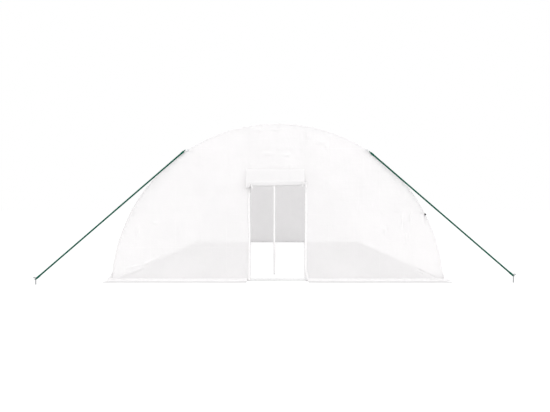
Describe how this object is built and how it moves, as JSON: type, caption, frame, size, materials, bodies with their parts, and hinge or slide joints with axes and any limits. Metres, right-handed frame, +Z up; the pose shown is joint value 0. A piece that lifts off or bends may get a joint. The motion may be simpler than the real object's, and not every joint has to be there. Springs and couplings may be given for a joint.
{
  "type": "polytunnel greenhouse",
  "caption": "Walk-in polytunnel greenhouse: translucent film over a jointed arched steel frame, one roll-up front door, loose hems and guy ropes pegged to the ground.",
  "frame": {"origin": "on the ground, at the middle of the tunnel's length and width", "axes": "+Z up, +Y along the tunnel from its front end with the open doorway to its back end, +X to the right when facing the front"},
  "size_m": [8.444, 10.8658, 2.8502],
  "materials": {
    "frame_tube": "satin white coated steel",
    "film": "translucent white woven polyethylene film",
    "rope": "dark green twisted rope",
    "peg_steel": "galvanised",
    "webbing": "white webbing",
    "black_plastic": "moulded black"
  },
  "bodies": {
    "root": {"hoop_front": "frame_tube", "hoop_second": "frame_tube", "hoop_third": "frame_tube", "hoop_fourth": "frame_tube", "hoop_fifth": "frame_tube", "hoop_back": "frame_tube", "ridge_purlin": "frame_tube", "upper_purlins": "frame_tube", "lower_purlins": "frame_tube", "rail_left": "frame_tube", "rail_right": "frame_tube", "front_sill": "frame_tube", "front_posts": "frame_tube", "front_header": "frame_tube", "back_sill": "frame_tube", "cover_right_side": "film", "cover_right_haunch": "film", "cover_right_shoulder": "film", "cover_right_roof": "film", "cover_left_roof": "film", "cover_left_shoulder": "film", "cover_left_haunch": "film", "cover_left_side": "film", "front_wall_left": "film", "front_wall_right": "film", "front_wall_over_door": "film", "back_wall": "film", "front_hem": "film", "back_hem": "film", "hem_left": "film", "hem_right": "film", "front_door_roll": "film", "front_ropes": "rope", "back_ropes": "rope", "front_pegs": "peg_steel", "back_pegs": "peg_steel", "front_rope_hooks": "peg_steel", "back_rope_hooks": "peg_steel", "door_strap": "webbing", "side_knob": "black_plastic"}
  },
  "joints": []
}
